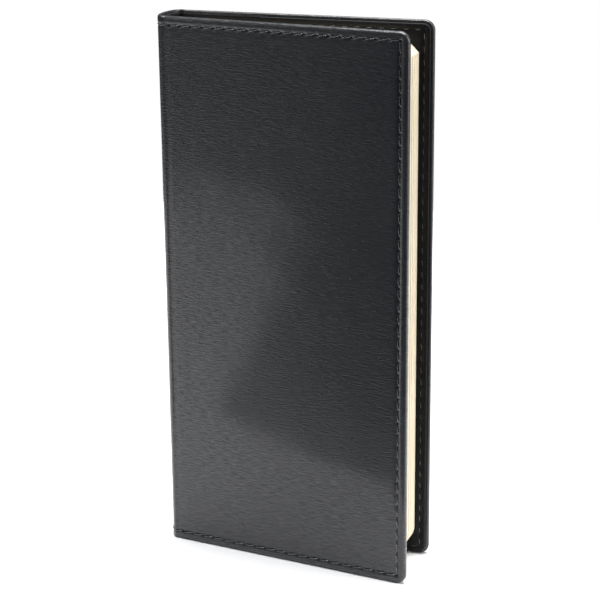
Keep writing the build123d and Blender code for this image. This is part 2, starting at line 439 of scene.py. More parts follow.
# The bands at the head and tail of the block: two thread colours in turn
wovenBand, bandTree, bandBsdf = newMaterial("woven_band")
bandWhere = objectInMm(bandTree)
bandAxes = addNode(bandTree, "ShaderNodeSeparateXYZ", {0: bandWhere})
bandTurns = math2(bandTree, "PINGPONG", bandAxes.outputs[1], 0.7)
bandShare = spread(bandTree, bandTurns, 0.3, 0.4)
bandFibre = noiseOf(bandTree, bandWhere, 5.0, 2.0, 0.6)
bandLight = mixColour(bandTree, bandFibre, (0.6, 0.55, 0.45), (0.86, 0.82, 0.72))
bandColour = mixColour(bandTree, bandShare, bandLight, (0.02, 0.021, 0.026))
feed(bandTree, bandBsdf, Base_Color=bandColour, Normal=bumpOf(bandTree, bandFibre, 0.4, 0.05))
setBase(bandBsdf, Roughness=0.7, Sheen_Weight=0.1)
print("materials ready")


def marksAlong(start, step, offset, last, dense, lineFrom, lineTo):
    # Positions along an edge, and which of them carry a line across the panel
    marks = [(start, False)] + ([(start + spacing["first"], True)] if dense else [])
    fine = step / spacing["divisions"]
    index = math.floor((start - offset) / fine) + 1
    while offset + index * fine < last - spacing["last"]:
        at = offset + index * fine
        if at - start > spacing["nearest"]:
            regular = index % spacing["every"] == 0 and lineFrom < at < lineTo
            marks.append((at, regular or (dense and at < spineRun + spacing["denseTo"])))
            if dense and abs(at + fine / 2 - spineRun) < spacing["halfStepsTo"]:
                marks.append((at + fine / 2, True))
        index += 1
    marks.append((last, False))
    return np.array([m[0] for m in marks]), [n for n, m in enumerate(marks) if m[1]]


def outlineLoop(columns, rows, inset):
    # Tail edge, fore edge and head edge of the panel, drawn inwards by inset
    radius, run = max(cover["radius"] - inset, cover["leastRadius"]), spacing["cornerRun"]
    cornerS, cornerV = skinEnd - inset - radius, inset + radius
    s = columns + np.clip((columns - columns[-1] + run) / run, 0, 1) * (cornerS - columns[-1])
    down = np.clip((rows[0] + run - rows) / run, 0, 1) * (cornerV - rows[0])
    up = np.clip((rows - rows[-1] + run) / run, 0, 1) * (coverHeight - cornerV - rows[-1])
    v = rows + down + up
    turn = np.linspace(0, math.pi / 2, cover["cornerSteps"] + 1)[1:-1]
    rise, fall = radius * np.sin(turn), radius * np.cos(turn)
    loopS = [s, cornerS + rise, np.full(len(v), skinEnd - inset), cornerS + fall, s[::-1]]
    loopV = [np.full(len(s), inset), cornerV - fall, v, coverHeight - cornerV + rise,
             np.full(len(s), coverHeight - inset)]
    return np.concatenate(loopS), np.concatenate(loopV)


def seamRelief(s, v, look):
    # Depth of the seam's valley, its needle holes and the raised welt outside it
    inset = seam["inset"]
    foreS, lowV, highV = skinEnd - inset, inset, coverHeight - inset
    past = np.maximum(s - foreS, 0)
    out = np.maximum(np.maximum(lowV - v, v - highV), 0)
    line = np.minimum(np.hypot(past, v - lowV), np.hypot(past, v - highV))
    line = np.minimum(line, np.hypot(s - foreS, out))
    endHole = np.clip(np.round(s / endPitch), 0, seam["endStitches"]) * endPitch
    foreHole = lowV + np.clip(np.round((v - lowV) / forePitch), 0, seam["foreStitches"]) * forePitch
    hole = np.minimum(np.hypot(s - endHole, v - lowV), np.hypot(s - endHole, v - highV))
    hole = np.minimum(hole, np.hypot(s - foreS, v - foreHole))
    edge = np.minimum(np.minimum(v, coverHeight - v), skinEnd - s)
    depth = look["base"] + look["valley"] * np.exp(-(line / look["valleyWidth"]) ** 2)
    depth += look["hole"] * np.exp(-(hole / look["holeWidth"]) ** 2)
    depth -= look["welt"] * np.exp(-((edge - look["weltInset"]) / look["weltWidth"]) ** 2)
    if look["unevenness"]:
        long, high = look["swell"]
        wave = [noise.noise(Vector((a / long, b / high, look["seed"]))) for a, b in zip(s, v)]
        depth += look["unevenness"] * np.array(wave) * ease(s / look["smoothTo"])
    return depth


def makeSlab(name, side, start, profile, relief, material, dense, bulge=0.0, reliefSign=1):
    # A leather layer. Each profile row is (inset, depth) on the spine, (inset, depth) on the
    # panel, and how much of the relief it takes; the first and last rows are closed by grids.
    clear = max(profile[0][2], profile[-1][2]) + spacing["capInset"]
    columns, lineColumns = marksAlong(start, endPitch, 0, skinEnd - cover["radius"], dense,
                                      start, skinEnd - clear)
    rows, lineRows = marksAlong(cover["radius"], forePitch, seam["inset"],
                                coverHeight - cover["radius"], False, clear, coverHeight - clear)
    columnCount, rowCount, cornerCount = len(columns), len(rows), cover["cornerSteps"] - 1
    loopLength = 2 * columnCount + rowCount + 2 * cornerCount
    points, surface, rims, faces = [], [], [], []

    def addPoints(s, v, depth, uvS, uvV, rim, share):
        # The relief works on the outer face of a skin and on the page side of other layers
        if share > 0:
            depth = depth + reliefSign * share * seamRelief(s, v, relief)
        points.extend(place(side, s, v, depth))
        surface.extend(np.stack([uvS, uvV], axis=-1))
        rims.extend(np.full(len(s), rim))

    travelled = 0.0
    for number, (spineInset, spineAt, inset, at, share) in enumerate(profile):
        if number:
            travelled += math.hypot(inset - profile[number - 1][2], at - profile[number - 1][3])
        s0, v0 = outlineLoop(columns, rows, spineInset)
        s1, v1 = outlineLoop(columns, rows, inset)
        panel = ease((s0 - spineRun) / cover["hingeRun"])
        s, v = s0 + (s1 - s0) * panel, v0 + (v1 - v0) * panel
        uvS, uvV = outlineLoop(columns, rows, profile[0][2] - travelled)
        rim = math.exp(-(inset / cover["rimFade"]) ** 2)
        addPoints(s, v, spineAt + (at - spineAt) * panel, uvS, uvV, rim, share)
    for row in range(len(profile) - 1):
        a, b = row * loopLength, (row + 1) * loopLength
        faces.extend([a + i, a + i + 1, b + i + 1, b + i] for i in range(loopLength - 1))

    def addCap(base, row):
        # A grid inside one loop of the outline; returns its column at the open side
        spineAt, at, share = profile[row][1], profile[row][3], profile[row][4]
        first = len(points)
        across, up = [0] + lineColumns, lineRows
        s, v = (a.ravel() for a in np.meshgrid(columns[across], rows[up], indexing="ij"))
        panel = ease((s - spineRun) / cover["hingeRun"])
        addPoints(s, v, spineAt + (at - spineAt) * panel, s, v, 0.0, share)
        grid = [[first + a * len(up) + b for b in range(len(up))] for a in range(len(across))]
        loop = list(range(base, base + loopLength))
        ends = np.cumsum([columnCount, cornerCount, rowCount, cornerCount])
        tail, tailCorner = loop[:ends[0]], loop[ends[0]:ends[1]]
        fore, headCorner, head = loop[ends[1]:ends[2]], loop[ends[2]:ends[3]], loop[ends[3]:][::-1]
        for a, left in enumerate(across):
            right = across[a + 1] if a + 1 < len(across) else None
            reach = columnCount - 1 if right is None else right
            beyond = tailCorner + fore[:up[0] + 1] if right is None else [grid[a + 1][0]]
            faces.append(tail[left:reach + 1] + beyond + [grid[a][0]])
            for b in range(len(up) - 1):
                if right is None:
                    middle = fore[up[b]:up[b + 1] + 1]
                else:
                    middle = [grid[a + 1][b], grid[a + 1][b + 1]]
                faces.append([grid[a][b]] + middle + [grid[a][b + 1]])
            beyond = fore[up[-1]:] + headCorner if right is None else [grid[a + 1][-1]]
            faces.append([grid[a][-1]] + beyond + head[left:reach + 1][::-1])
        return grid[0]

    lastBase = (len(profile) - 1) * loopLength
    capTop, capBottom = addCap(0, 0), addCap(lastBase, len(profile) - 1)
    wallFrom = len(faces)
    if bulge:
        upper, lower = np.array([points[i] for i in capTop]), np.array([points[i] for i in capBottom])
        direction = place(side, np.array([start - 1.0]), np.zeros(1), np.zeros(1))[0]
        direction = direction - place(side, np.array([start]), np.zeros(1), np.zeros(1))[0]
        middle = len(points)
        points.extend((upper + lower) / 2 + direction * bulge)
        surface.extend(surface[i] - np.array([cover["mouthStretch"], 0]) for i in capTop)
        rims.extend([cover["mouthRim"]] * len(capTop))
        chains = [capTop, [middle + i for i in range(len(capTop))], capBottom]
    else:
        chains = [capTop, capBottom]
    for one, two in zip(chains, chains[1:]):
        faces.extend([one[i], one[i + 1], two[i + 1], two[i]] for i in range(len(one) - 1))
    tailEnds = [row * loopLength for row in range(len(profile))]
    headEnds = [row * loopLength + loopLength - 1 for row in range(len(profile))]
    faces.append(tailEnds + [chain[0] for chain in reversed(chains)])
    faces.append(headEnds + [chain[-1] for chain in reversed(chains)])
    mesh = meshFrom(name, points, faces, material, flatFrom=None if bulge else wallFrom)
    addSurface(mesh, np.array(surface), np.array(rims))
    return linkPiece(name, mesh)


def meshFrom(name, points, faces, material, flatFrom=None, sharpAngle=50):
    mesh = bpy.data.meshes.new(name)
    mesh.from_pydata([tuple(p * mm) for p in np.array(points, float)], [], [tuple(f) for f in faces])
    work = bmesh.new()
    work.from_mesh(mesh)
    bmesh.ops.recalc_face_normals(work, faces=work.faces[:])
    work.faces.ensure_lookup_table()
    for face in work.faces:
        face.smooth = flatFrom is None or face.index < flatFrom
    for edge in work.edges:
        if len(edge.link_faces) == 2 and edge.calc_face_angle() > math.radians(sharpAngle):
            edge.smooth = False
        if flatFrom is not None and any(face.index >= flatFrom for face in edge.link_faces):
            edge.smooth = False
    work.to_mesh(mesh)
    work.free()
    mesh.materials.append(material)
    return mesh


def addSurface(mesh, surface, rims):
    layer = mesh.uv_layers.new(name="surface")
    corners = np.zeros(len(mesh.loops), int)
    mesh.loops.foreach_get("vertex_index", corners)
    layer.data.foreach_set("uv", (surface[corners] / uvSpan).astype(np.float32).ravel())
    rim = mesh.attributes.new("rim", "FLOAT", "POINT")
    rim.data.foreach_set("value", rims.astype(np.float32))


def linkPiece(name, mesh):
    piece = bpy.data.objects.new(name, mesh)
    scene.collection.objects.link(piece)
    return piece


# Outer skins: each is half of the spine and one panel, folded in over the board
skin = {"edgeRadius": 0.95, "innerRadius": 0.5, "spineRadius": 0.5, "innerSpineRadius": 0.4,
        "thickness": 0.8, "turnIn": 7.0, "turnInDepth": 0.4, "boardInset": 0.8,
        "seamRows": (3.8, 3.4, 3.15, 2.97, 2.8, 2.63, 2.45, 2.2, 1.9, 1.55, 1.2)}
skinRelief = {"base": 0.07, "valley": 0.2, "valleyWidth": 0.55, "hole": 0.45, "holeWidth": 0.36,
              "welt": 0.05, "weltInset": 1.5, "weltWidth": 0.55, "unevenness": 0.05, "swell": (17, 13),
              "smoothTo": 5, "seed": 3.1}


def rounded(radius, turn):
    # How far in from the edge, and how far below the face, a rounded edge is after a turn
    return radius * (1 - math.sin(turn)), radius * (1 - math.cos(turn))


def skinProfile():
    rows = [(inset, 0, inset, 0, 1.0) for inset in skin["seamRows"]]
    lip = spineLayers
    for turn in np.linspace(0, math.pi / 2, 6):
        share = 1 - turn / (math.pi / 2)
        rows.append((*rounded(skin["spineRadius"], turn), *rounded(skin["edgeRadius"], turn), share))
    for turn in np.linspace(0, math.pi / 2, 4):
        spineUp, spineIn = rounded(skin["innerSpineRadius"], turn)
        panelUp, panelIn = rounded(skin["innerRadius"], turn)
        rows.append((spineIn, lip - spineUp, panelIn, tray - panelUp, 0))
    under = tray - skin["turnInDepth"]
    rows.append((0.84, lip, 1.2, tray, 0))
    rows.append((0.88, lip, skin["turnIn"], tray, 0))
    rows.append((0.9, lip - 0.1, skin["turnIn"], under, 0))
    rows.append((0.93, lip - 0.25, skin["boardInset"], under, 0))
    rows.append((0.96, skin["thickness"], skin["boardInset"], skin["thickness"], 0))
    return rows


skins = {}
for label, side in sides.items():
    skins[label] = makeSlab(f"{label}_skin", side, 0.0, skinProfile(), skinRelief, blackLeather, True)
    print("skin", label, len(skins[label].data.polygons), "faces")

# Linings: from the middle of the spine to 1 mm inside the panel's edge
lining = {"inset": 1.0, "thickness": liningFace - tray, "seamRows": (3.8, 3.3, 3.0, 2.8, 2.6, 2.3, 1.8)}
innerRelief = {"base": 0.0, "valley": 0.1, "holeWidth": 0.28, "welt": 0.0, "weltInset": 1.5,
               "weltWidth": 0.55, "unevenness": 0.0}
liningRelief = {**innerRelief, "valleyWidth": 0.4, "hole": 0.14}


def liningProfile():
    top, edge = lining["thickness"], lining["inset"]
    rim = ((edge + 0.25, top), (edge + 0.08, top - 0.06), (edge, top - 0.15), (edge, 0.04),
           (edge + 0.4, 0))
    rows = [(inset, top, 1.0) for inset in lining["seamRows"]]
    rows += [(inset, rise, 0) for inset, rise in rim]
    return [(inset, spineLayers + rise, inset, tray + rise, share) for inset, rise, share in rows]


linings = {}
for label, side in sides.items():
    linings[label] = makeSlab(f"{label}_lining_sheet", side, 0.0, liningProfile(), liningRelief,
                              blackLining, True, reliefSign=-1)

# Sleeves: sewn down along three sides, open towards the spine to take the booklet's card
sleeve = {
    "thickness": 0.6, "pocketRows": (3.5, 4.2), "mouthBulge": 0.22, "seamFrom": 4, "seamTo": 1.5,
    # inset from the edge, and how far the sleeve has sunk there
    "faceRows": ((5.6, 0), (4.8, 0.02), (4.2, 0.06), (3.8, 0.1), (3.3, 0.16), (3.0, 0.2), (2.8, 0.22),
                 (2.6, 0.22), (2.3, 0.22), (1.8, 0.24), (1.3, 0.28), (1.1, 0.36), (1.0, 0.5)),
    # inset from the edge, and how far off the lining its underside is there
    "underRows": ((1.0, 0.15), (1.1, 0.02), (2.0, 0.02), (3.38, 0.02)),
}
sleeveRelief = {**innerRelief, "valleyWidth": 0.42, "hole": 0.16}


def sleeveProfile():
    rows = [(inset, sleeveFace - sunk, float(sleeve["seamTo"] < inset < sleeve["seamFrom"]))
            for inset, sunk in sleeve["faceRows"]]
    rows += [(inset, liningFace + rise, 0.0) for inset, rise in sleeve["underRows"]]
    rows += [(inset, sleeveFace - sleeve["thickness"], 0.0) for inset in sleeve["pocketRows"]]
    return [(inset, depth, inset, depth, share) for inset, depth, share in rows]


sleeves = {}
for label, side in sides.items():
    sleeves[label] = makeSlab(f"{label}_sleeve_sheet", side, spineRun + sleeveStart, sleeveProfile(),
                              sleeveRelief, blackSleeve, False, bulge=sleeve["mouthBulge"], reliefSign=-1)
print("lining and sleeves ready")


def newTree(name, inputs):
    tree = bpy.data.node_groups.new(name, "GeometryNodeTree")
    tree.interface.new_socket("Geometry", in_out="INPUT", socket_type="NodeSocketGeometry")
    for label, kind in inputs:
        tree.interface.new_socket(label, in_out="INPUT", socket_type=f"NodeSocket{kind}")
    tree.interface.new_socket("Geometry", in_out="OUTPUT", socket_type="NodeSocketGeometry")
    return tree, addNode(tree, "NodeGroupInput"), addNode(tree, "NodeGroupOutput")


def runTree(name, source, tree, values):
    # Runs the tree on a mesh and keeps the plain mesh that comes out
    carrier = linkPiece(f"{name}_source", source)
    modifier = carrier.modifiers.new("make", "NODES")
    modifier.node_group = tree
    for item in tree.interface.items_tree:
        if item.in_out == "INPUT" and item.name in values:
            modifier[item.identifier] = values[item.name]
    bpy.context.view_layer.update()
    graph = bpy.context.evaluated_depsgraph_get()
    made = bpy.data.meshes.new_from_object(
        carrier.evaluated_get(graph), preserve_all_data_layers=True, depsgraph=graph)
    bpy.data.objects.remove(carrier)
    made.name = name
    return made


def finishTree(tree, geometry, groupIn, groupOut):
    realized = addNode(tree, "GeometryNodeRealizeInstances", {"Geometry": geometry}).outputs[0]
    inputs = {"Geometry": realized, "Material": groupIn.outputs["Material"]}
    finished = addNode(tree, "GeometryNodeSetMaterial", inputs).outputs[0]
    tree.links.new(finished, groupOut.inputs[0])


def vectorOf(tree, name):
    made = addNode(tree, "GeometryNodeInputNamedAttribute", {"Name": name}, data_type="FLOAT_VECTOR")
    return made.outputs["Attribute"]


def scaled(tree, vector, factor):
    made = addNode(tree, "ShaderNodeVectorMath", {0: vector}, operation="SCALE")
    tree.links.new(factor, made.inputs["Scale"])
    return made.outputs[0]


# Thread: each edge of the mesh becomes one laid stitch that dives into its needle holes
threadTree, threadIn, threadOut = newTree("laidThread", [
    ("Rings", "Int"), ("Radius", "Float"), ("Dive", "Float"), ("Slant", "Float"), ("Twist", "Float"),
    ("Taper", "Float"), ("Material", "Material")])
runs = addNode(threadTree, "GeometryNodeMeshToCurve", {"Mesh": threadIn.outputs["Geometry"]})
runs = addNode(threadTree, "GeometryNodeResampleCurve",
               {"Curve": runs.outputs[0], "Count": threadIn.outputs["Rings"]})
along = addNode(threadTree, "GeometryNodeSplineParameter")
centred = math2(threadTree, "SUBTRACT", along.outputs["Factor"], 0.5)
outward = math2(threadTree, "ABSOLUTE", math2(threadTree, "MULTIPLY", centred, 2.0))
ends = math2(threadTree, "POWER", outward, 4.0)
diveBy = scaled(threadTree, vectorOf(threadTree, "into"),
                math2(threadTree, "MULTIPLY", ends, threadIn.outputs["Dive"]))
slantBy = scaled(threadTree, vectorOf(threadTree, "across"),
                 math2(threadTree, "MULTIPLY", centred, threadIn.outputs["Slant"]))
shift = addNode(threadTree, "ShaderNodeVectorMath", {0: diveBy, 1: slantBy}, operation="ADD")
runs = addNode(threadTree, "GeometryNodeSetPosition",
               {"Geometry": runs.outputs[0], "Offset": shift.outputs[0]})
tilt = math2(threadTree, "MULTIPLY", along.outputs["Length"], threadIn.outputs["Twist"])
runs = addNode(threadTree, "GeometryNodeSetCurveTilt", {"Curve": runs.outputs[0], "Tilt": tilt})
innerRadius = math2(threadTree, "MULTIPLY", threadIn.outputs["Radius"], 0.72)
ply = addNode(threadTree, "GeometryNodeCurveStar", {
    "Points": 3, "Inner Radius": innerRadius, "Outer Radius": threadIn.outputs["Radius"], "Twist": 0})
narrowBy = math2(threadTree, "MULTIPLY", ends, threadIn.outputs["Taper"])
narrow = math2(threadTree, "SUBTRACT", 1.0, narrowBy)
threadMesh = addNode(threadTree, "GeometryNodeCurveToMesh", {
    "Curve": runs.outputs[0], "Profile Curve": ply.outputs[0], "Scale": narrow, "Fill Caps": True})
threadMesh = addNode(threadTree, "GeometryNodeSetShadeSmooth", {"Geometry": threadMesh.outputs[0]})
finishTree(threadTree, threadMesh.outputs[0], threadIn, threadOut)


def stitchMesh(name, stitches):
    # One edge per stitch: start, end, way into the material, way across the seam
    points, into, across = [], [], []
    for start, stop, inward in stitches:
        sideways = np.cross(stop - start, inward)
        for point in (start, stop):
            points.append(tuple(point * mm))
            into.append(inward)
            across.append(sideways / np.linalg.norm(sideways))
    mesh = bpy.data.meshes.new(name)
    mesh.from_pydata(points, [(2 * i, 2 * i + 1) for i in range(len(stitches))], [])
    for label, values in (("into", into), ("across", across)):
        attribute = mesh.attributes.new(label, "FLOAT_VECTOR", "POINT")
        attribute.data.foreach_set("vector", np.array(values, np.float32).ravel())
    return mesh


stitch = {"radius": 0.3, "gap": 0.45, "outerDepth": 0.06, "foreSink": 0.13, "sleeveSink": 0.45,
          "liningSink": 0.23, "dive": 0.34, "slant": 0.34, "twist": 2.6, "rings": 9, "taper": 0.25}


def seamHoles():
    # Needle holes round the cover, from the middle of the spine along the tail, up, and back
    inset = seam["inset"]
    tail = [(k * endPitch, inset) for k in range(seam["endStitches"] + 1)]
    fore = [(skinEnd - inset, inset + k * forePitch) for k in range(1, seam["foreStitches"] + 1)]
    head = [(k * endPitch, coverHeight - inset) for k in range(seam["endStitches"] - 1, -1, -1)]
    return np.array(tail + fore + head)


def stitchesFor(side):
    holes = seamHoles()
    made = []
    for a, b in zip(holes, holes[1:]):
        way = (b - a) / np.linalg.norm(b - a)
        a, b = a + way * stitch["gap"], b - way * stitch["gap"]
        s, v = np.array([a[0], b[0]]), np.array([a[1], b[1]])
        level = np.zeros(2) + stitch["outerDepth"] + stitch["foreSink"] * abs(way[1])
        outer, deeper = place(side, s, v, level), place(side, s, v, level + 0.5)
        inward = deeper[0] - outer[0]
        made.append((outer[0], outer[1], inward / np.linalg.norm(inward)))
        if s.min() > spineRun + cover["foldEnd"]:  # the back of the seam, on lining or sleeve
            onSleeve = s.min() > spineRun + sleeveStart
            face = sleeveFace - stitch["sleeveSink"] if onSleeve else liningFace - stitch["liningSink"]
            inner = place(side, s, v, np.zeros(2) + face)
            made.append((inner[0], inner[1], -inward / np.linalg.norm(inward)))
    return made


threads = {}
threadValues = {"Rings": stitch["rings"], "Radius": stitch["radius"] * mm, "Dive": stitch["dive"] * mm,
                "Slant": stitch["slant"] * mm, "Twist": stitch["twist"] / mm, "Taper": stitch["taper"]}
for label, side in sides.items():
    name = f"{label}_thread"
    laid = runTree(name, stitchMesh(name, stitchesFor(side)), threadTree,
                   {**threadValues, "Material": blackThread})
    threads[label] = linkPiece(name, laid)
    print("stitches", label, len(laid.polygons), "faces")

# Leaves: one cut sheet is repeated through the section and squeezed towards its fold
leafTree, leafIn, leafOut = newTree("sheaf", [
    ("Leaves", "Int"), ("Gap", "Float"), ("Fold share", "Float"), ("Fold length", "Float"),
    ("Uneven", "Float"), ("Width", "Float"), ("Seed", "Int"), ("Material", "Material")])
spots = addNode(leafTree, "GeometryNodePoints", {"Count": leafIn.outputs["Leaves"]})
copies = addNode(leafTree, "GeometryNodeInstanceOnPoints",
                 {"Points": spots.outputs[0], "Instance": leafIn.outputs["Geometry"]})
number = addNode(leafTree, "GeometryNodeInputIndex")
numbered = addNode(leafTree, "GeometryNodeStoreNamedAttribute", {
    "Geometry": copies.outputs[0], "Name": "leafNumber"}, data_type="FLOAT", domain="INSTANCE")
leafTree.links.new(number.outputs[0], numbered.inputs["Value"])
loose = addNode(leafTree, "GeometryNodeRealizeInstances", {"Geometry": numbered.outputs[0]})
leafNumber = addNode(leafTree, "GeometryNodeInputNamedAttribute",
                     {"Name": "leafNumber"}, data_type="FLOAT")
position = addNode(leafTree, "GeometryNodeInputPosition").outputs[0]
spot = addNode(leafTree, "ShaderNodeSeparateXYZ", {0: position})
half = math2(leafTree, "MULTIPLY", math2(leafTree, "SUBTRACT", leafIn.outputs["Leaves"], 1.0), 0.5)
fromMiddle = math2(leafTree, "SUBTRACT", leafNumber.outputs[0], half)
level = multiplyAdd(leafTree, fromMiddle, leafIn.outputs["Gap"], spot.outputs[1])
opening = addNode(leafTree, "ShaderNodeMapRange", {
    "Value": spot.outputs[0], "From Min": 0.0, "From Max": leafIn.outputs["Fold length"],
    "To Min": leafIn.outputs["Fold share"], "To Max": 1.0}, interpolation_type="SMOOTHSTEP")
level = math2(leafTree, "MULTIPLY", level, opening.outputs["Result"])
lift = math2(leafTree, "SUBTRACT", level, spot.outputs[1])
chance = addNode(leafTree, "FunctionNodeRandomValue", data_type="FLOAT")
leafTree.links.new(leafNumber.outputs[0], chance.inputs["ID"])
leafTree.links.new(leafIn.outputs["Seed"], chance.inputs["Seed"])
share = math2(leafTree, "DIVIDE", spot.outputs[0], leafIn.outputs["Width"])
short = math2(leafTree, "MULTIPLY", chance.outputs[1], leafIn.outputs["Uneven"])
short = math2(leafTree, "MULTIPLY", math2(leafTree, "MULTIPLY", short, share), -1.0)
moveBy = addNode(leafTree, "ShaderNodeCombineXYZ", {0: short, 1: lift})
moved = addNode(leafTree, "GeometryNodeSetPosition",
                {"Geometry": loose.outputs[0], "Offset": moveBy.outputs[0]})
finishTree(leafTree, moved.outputs[0], leafIn, leafOut)

page = {"cornerRadius": 6.0, "cornerCut": 5.7, "leaves": 14, "fill": 0.8, "foldShare": 0.22,
        "foldLength": 5.0, "uneven": 0.12, "flyleafBow": 6.0,
        "bends": (0, 0.5, 1, 1.6, 2.3, 3, 3.7, 4.3, 5, 25, 50)}  # distances from the fold


def stripFaces(count):
    # Faces of a closed strip that has four points to a row
    faces = []
    for i in range(count - 1):
        a, b = 4 * i, 4 * (i + 1)
        faces += [[a, b, b + 1, a + 1], [a + 2, a + 3, b + 3, b + 2]]
        faces += [[a, a + 2, b + 2, b], [a + 1, b + 1, b + 3, a + 3]]
    last = 4 * (count - 1)
    return faces + [[0, 1, 3, 2], [last, last + 2, last + 3, last + 1]]


def leafMesh(name, width, height, thickness):
    # One sheet, its tail corner rounded and its head corner cut straight, as a closed slab
    radius, cut = page["cornerRadius"], page["cornerCut"]
    # Known fault: with a cut shorter than the radius these last two rows run backwards, so a
    # narrow strip of every leaf folds over itself and shows as a faint line. Sorting them mends it.
    bends = [*page["bends"], width - cut, width - radius]
    turn = np.linspace(0, math.pi / 2, 9)[1:]
    xs = np.concatenate([bends, width - radius + radius * np.sin(turn)])
    bottoms = np.concatenate([np.full(len(bends), height / 2), height / 2 - radius * (1 - np.cos(turn))])
    tops = height / 2 - np.maximum(xs - (width - cut), 0)
    points = []
    for x, bottom, top in zip(xs, bottoms, tops):
        for y in (-thickness / 2, thickness / 2):
            points += [(x, y, -bottom), (x, y, top)]
    mesh = meshFrom(name, points, stripFaces(len(xs)), creamPaper, sharpAngle=30)
    for polygon in mesh.polygons:
        polygon.use_smooth = False
    return mesh


sewn = {}
pageBodies = {"front_leaf": "front_flyleaf", "back_leaf": "back_flyleaf"}
pageBodies.update({f"pages_{n}": f"section_{n}" for n in range(1, 7)})
backLow, backHigh = boxOf("back_flyleaf")
pageHeight, pageMiddle = backHigh[2] - backLow[2], (backHigh[2] + backLow[2]) / 2
flatLow, flatHigh = boxOf("section_6")
sectionThickness = flatHigh[1] - flatLow[1]
for order, (body, node) in enumerate(sorted(pageBodies.items())):
    pivot = pivotOf(f"{body}_fold")
    width = flatHigh[0] - pivot[0]
    flyleaf = "flyleaf" in node
    count = 2 if flyleaf else page["leaves"]
    thickness = backHigh[1] - backLow[1] if flyleaf else sectionThickness
    gap = thickness / count
    foldShare = 1.0 if flyleaf else page["foldShare"]
    sheaf = runTree(node, leafMesh(node, width, pageHeight, gap * page["fill"]), leafTree, {
        "Leaves": count, "Gap": gap * mm, "Fold share": foldShare, "Fold length": page["foldLength"] * mm,
        "Uneven": 0.0 if flyleaf else page["uneven"] * mm, "Width": width * mm, "Seed": order,
        "Material": plainPaper if flyleaf else creamPaper})
    follows = couplings[f"{body}_fold"]
    angle = -restAngle * follows["ratio"] if follows["follows"] == "front_cover_hinge" else 0
    sheaf.transform(Matrix.Translation(Vector((pivot[0], pivot[1], pageMiddle)) * mm)
                    @ Matrix.Rotation(angle, 4, "Z"))
    leaves = linkPiece(f"{node}_leaves", sheaf)
    toward = Vector((math.cos(angle), math.sin(angle), 0))
    sewn[body] = (leaves, node, Vector(pivot), toward if flyleaf else None)
print("leaves ready")

# Sewing: the thread's runs behind the folds
sewLow, sewHigh = boxOf("booklet_sewing")
sewing = {"stations": 4, "span": 26.0, "endClear": 0.05, "radius": (sewHigh[0] - sewLow[0]) / 2,
          "rings": 40, "twist": 3.2}
sewX = (sewLow[0] + sewHigh[0]) / 2
sewRuns = []
for n in range(1, 7):
    y = pivotOf(f"pages_{n}_fold")[1]
    for station in range(sewing["stations"]):
        z = coverHeight / 2 + (station - (sewing["stations"] - 1) / 2) * pageHeight / sewing["stations"]
        halfRun = sewing["span"] / 2 - sewing["endClear"]
        lower, upper = (np.array([sewX, y, z + sign * halfRun]) for sign in (-1, 1))
        sewRuns.append((lower, upper, np.array([1.0, 0, 0])))
sewnThread = linkPiece("sewing_thread", runTree(
    "sewing_thread", stitchMesh("sewing_thread", sewRuns), threadTree, {
        "Rings": sewing["rings"], "Radius": sewing["radius"] * mm, "Dive": 0.0, "Slant": 0.0,
        "Twist": sewing["twist"] / mm, "Taper": 0.0, "Material": linenThread}))

# Bands: thread wound round a core, at the head and tail of the block
bandShape, bandIn, bandOut = newTree("woundBand", [
    ("Rings", "Int"), ("Radius", "Float"), ("Wind", "Float"), ("Material", "Material")])
core = addNode(bandShape, "GeometryNodeMeshToCurve", {"Mesh": bandIn.outputs["Geometry"]})
core = addNode(bandShape, "GeometryNodeResampleCurve",
               {"Curve": core.outputs[0], "Count": bandIn.outputs["Rings"]})
bandAlong = addNode(bandShape, "GeometryNodeSplineParameter")
turnsAlong = math2(bandShape, "DIVIDE", bandAlong.outputs["Length"], bandIn.outputs["Wind"])
windings = math2(bandShape, "SINE", math2(bandShape, "MULTIPLY", turnsAlong, math.pi))
ridgeAt = math2(bandShape, "ABSOLUTE", windings)
ridgeScale = addNode(bandShape, "ShaderNodeMapRange", {
    "Value": ridgeAt, "From Min": 0.0, "From Max": 1.0, "To Min": 0.84, "To Max": 1.0})
bandRing = addNode(bandShape, "GeometryNodeCurvePrimitiveCircle",
                   {"Resolution": 16, "Radius": bandIn.outputs["Radius"]})
bandMesh = addNode(bandShape, "GeometryNodeCurveToMesh", {
    "Curve": core.outputs[0], "Profile Curve": bandRing.outputs[0],
    "Scale": ridgeScale.outputs["Result"], "Fill Caps": True})
bandMesh = addNode(bandShape, "GeometryNodeSetShadeSmooth", {"Geometry": bandMesh.outputs[0]})
finishTree(bandShape, bandMesh.outputs[0], bandIn, bandOut)
winding = {"rings": 180, "pitch": 0.35}
bands = {}
for node in ("head_band", "tail_band"):
    low, high = boxOf(node)
    middle = (low + high) / 2
    line = bpy.data.meshes.new(node)
    line.from_pydata([(middle[0] * mm, y * mm, middle[2] * mm) for y in (low[1], high[1])], [(0, 1)], [])
    bands[node] = linkPiece(f"{node}_wound", runTree(f"{node}_wound", line, bandShape, {
        "Rings": winding["rings"], "Radius": (high[0] - low[0]) / 2 * mm, "Wind": winding["pitch"] * mm,
        "Material": wovenBand}))

